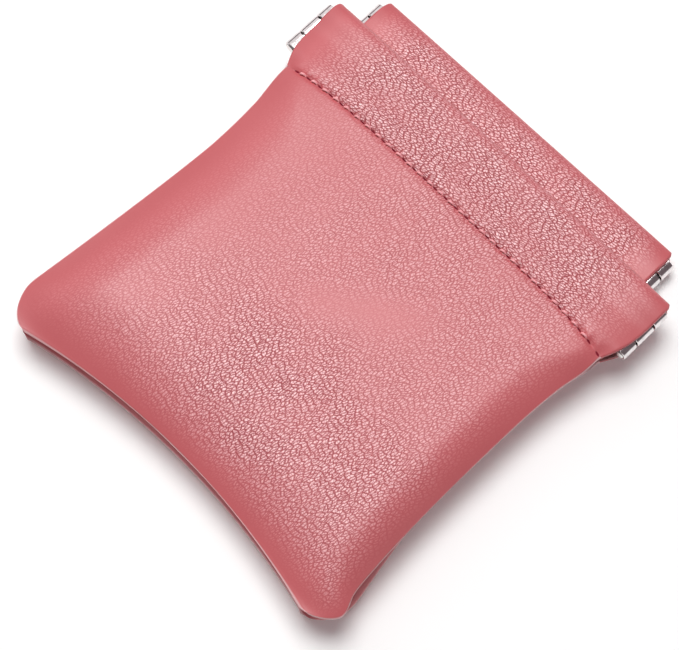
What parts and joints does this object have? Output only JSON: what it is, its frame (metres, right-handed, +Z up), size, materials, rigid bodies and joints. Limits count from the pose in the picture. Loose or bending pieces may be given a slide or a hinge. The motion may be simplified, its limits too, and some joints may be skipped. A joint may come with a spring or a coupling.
{
  "type": "jewelry pouch",
  "caption": "Flat leather jewelry pouch with stacked pockets that snap shut on spring strips in hemmed mouths, lying on its back",
  "frame": {"origin": "middle of the bounding box's bottom face, where the back wall lies on the table", "axes": "+X along the mouths, +Y from the bottom seam to the mouths, +Z up out of the front wall"},
  "size_m": [0.092, 0.0992, 0.014],
  "materials": {
    "leather": "pebbled dusty rose, soft satin",
    "thread": "twisted sewing thread, dusty rose",
    "spring_strip": "bright nickel plate on spring steel",
    "hinge_pin": "bright nickel plate"
  },
  "bodies": {
    "back": {"back_wall": "leather"},
    "rear_pocket": {"rear_divider": "leather"},
    "front_pocket_back": {"front_divider": "leather"},
    "front_pocket": {"front_wall": "leather"},
    "front_wall_lip_left": {"front_wall_hem_left": "leather", "front_wall_stitches_left": "thread", "front_wall_strip_left": "spring_strip"},
    "front_wall_lip_right": {"front_wall_hem_right": "leather", "front_wall_stitches_right": "thread", "front_wall_strip_right": "spring_strip"},
    "front_divider_lip_left": {"front_divider_hem_left": "leather", "front_divider_stitches_left": "thread", "front_divider_strip_left": "spring_strip", "front_pin_left": "hinge_pin"},
    "front_divider_lip_right": {"front_divider_hem_right": "leather", "front_divider_stitches_right": "thread", "front_divider_strip_right": "spring_strip", "front_pin_right": "hinge_pin"},
    "rear_divider_lip_left": {"rear_divider_hem_left": "leather", "rear_divider_stitches_left": "thread", "rear_divider_strip_left": "spring_strip"},
    "rear_divider_lip_right": {"rear_divider_hem_right": "leather", "rear_divider_stitches_right": "thread", "rear_divider_strip_right": "spring_strip"},
    "back_wall_lip_left": {"back_wall_hem_left": "leather", "back_wall_stitches_left": "thread", "back_wall_strip_left": "spring_strip", "rear_pin_left": "hinge_pin"},
    "back_wall_lip_right": {"back_wall_hem_right": "leather", "back_wall_stitches_right": "thread", "back_wall_strip_right": "spring_strip", "rear_pin_right": "hinge_pin"}
  },
  "joints": [
    {"name": "rear_mouth", "type": "hinge", "parent": "back", "child": "rear_pocket", "pos_m": [0, -0.0489, 0.00325], "axis": [1, 0, 0], "range_deg": [0, 10], "stiffness_Nm_per_rad": 0.3, "springref_deg": -5.73},
    {"name": "front_pocket_lift", "type": "hinge", "parent": "rear_pocket", "child": "front_pocket_back", "pos_m": [0, -0.0496, 0.00635], "axis": [1, 0, 0], "range_deg": [0, 10]},
    {"name": "front_mouth", "type": "hinge", "parent": "front_pocket_back", "child": "front_pocket", "pos_m": [0, -0.0496, 0.00945], "axis": [1, 0, 0], "range_deg": [0, 12.6], "stiffness_Nm_per_rad": 0.3, "springref_deg": -5.73},
    {"name": "front_wall_strip_left_bow", "type": "hinge", "parent": "front_pocket", "child": "front_wall_lip_left", "pos_m": [-0.04336, 0.033, 0.01632], "axis": [0, -1, 0], "range_deg": [0, 18]},
    {"name": "front_wall_strip_right_bow", "type": "hinge", "parent": "front_pocket", "child": "front_wall_lip_right", "pos_m": [0.04336, 0.033, 0.01632], "axis": [0, 1, 0], "range_deg": [0, 18]},
    {"name": "front_divider_strip_left_bow", "type": "hinge", "parent": "front_pocket", "child": "front_divider_lip_left", "pos_m": [-0.04336, 0.033, 0.00258], "axis": [0, 1, 0], "range_deg": [0, 18]},
    {"name": "front_divider_strip_right_bow", "type": "hinge", "parent": "front_pocket", "child": "front_divider_lip_right", "pos_m": [0.04336, 0.033, 0.00258], "axis": [0, -1, 0], "range_deg": [0, 18]},
    {"name": "rear_divider_strip_left_bow", "type": "hinge", "parent": "rear_pocket", "child": "rear_divider_lip_left", "pos_m": [-0.03717, 0.042, 0.00914], "axis": [0, -1, 0], "range_deg": [0, 18]},
    {"name": "rear_divider_strip_right_bow", "type": "hinge", "parent": "rear_pocket", "child": "rear_divider_lip_right", "pos_m": [0.03717, 0.042, 0.00914], "axis": [0, 1, 0], "range_deg": [0, 18]},
    {"name": "back_wall_strip_left_bow", "type": "hinge", "parent": "rear_pocket", "child": "back_wall_lip_left", "pos_m": [-0.03717, 0.042, -0.00264], "axis": [0, 1, 0], "range_deg": [0, 18]},
    {"name": "back_wall_strip_right_bow", "type": "hinge", "parent": "rear_pocket", "child": "back_wall_lip_right", "pos_m": [0.03717, 0.042, -0.00264], "axis": [0, -1, 0], "range_deg": [0, 18]}
  ],
  "couplings": [
    {"joint": "front_pocket_lift", "follows": "rear_mouth", "ratio": 1},
    {"joint": "rear_divider_strip_left_bow", "follows": "rear_mouth", "ratio": 1.8},
    {"joint": "rear_divider_strip_right_bow", "follows": "rear_mouth", "ratio": 1.8},
    {"joint": "back_wall_strip_left_bow", "follows": "rear_mouth", "ratio": 1.8},
    {"joint": "back_wall_strip_right_bow", "follows": "rear_mouth", "ratio": 1.8},
    {"joint": "front_wall_strip_left_bow", "follows": "front_mouth", "ratio": 1.4286},
    {"joint": "front_wall_strip_right_bow", "follows": "front_mouth", "ratio": 1.4286},
    {"joint": "front_divider_strip_left_bow", "follows": "front_mouth", "ratio": 1.4286},
    {"joint": "front_divider_strip_right_bow", "follows": "front_mouth", "ratio": 1.4286}
  ]
}
